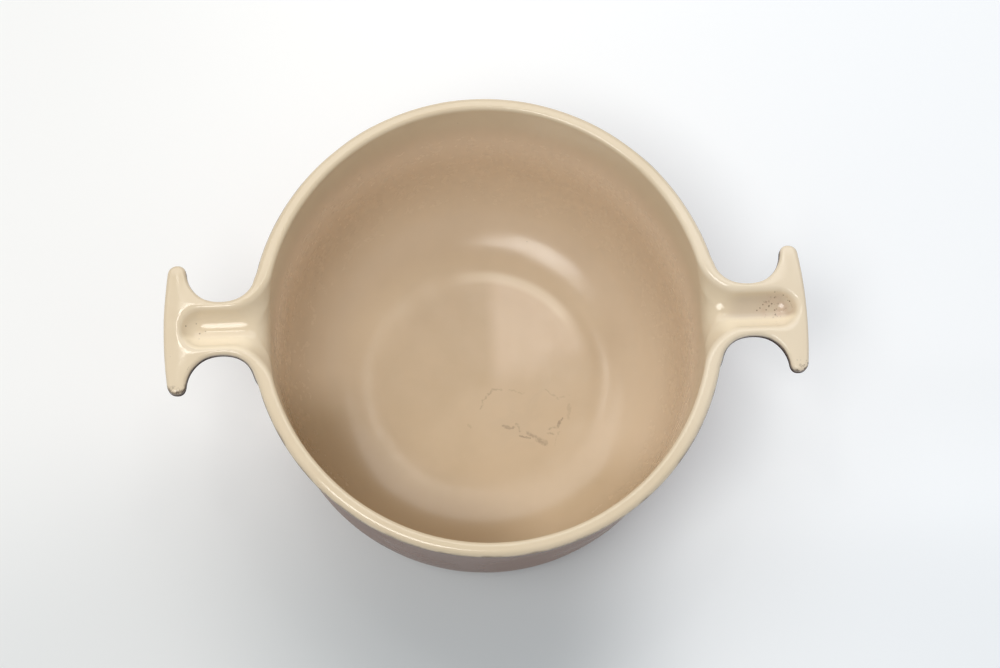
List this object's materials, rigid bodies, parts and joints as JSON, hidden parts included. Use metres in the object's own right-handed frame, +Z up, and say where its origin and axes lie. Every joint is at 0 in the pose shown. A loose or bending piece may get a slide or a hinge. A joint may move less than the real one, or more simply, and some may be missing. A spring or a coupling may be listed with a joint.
{
  "type": "enamelled casserole pot",
  "caption": "Round enamelled cast-iron cooking pot, open at the top, with T-shaped side handles that each have a trough running out of the rim; used with a lid on a hob or in an oven.",
  "frame": {"origin": "centre of the foot ring's resting plane", "axes": "+Z up through the open mouth, X along the line through the handles, Y across it"},
  "size_m": [0.3496, 0.2602, 0.13],
  "materials": {
    "bare_iron": "ground grey iron, faintly oxidised",
    "dark_ground_coat": "satin dark brown vitreous base coat",
    "cream_enamel": "glossy sand-cream enamel, lightly worn, with pinholes and a faint cooking stain",
    "brown_enamel": "glossy warm brown enamel"
  },
  "bodies": {
    "root": {"iron_casting": "bare_iron", "ground_coat": "dark_ground_coat", "interior_enamel": "cream_enamel", "exterior_enamel": "brown_enamel", "base_ground_coat": "dark_ground_coat"}
  },
  "joints": []
}
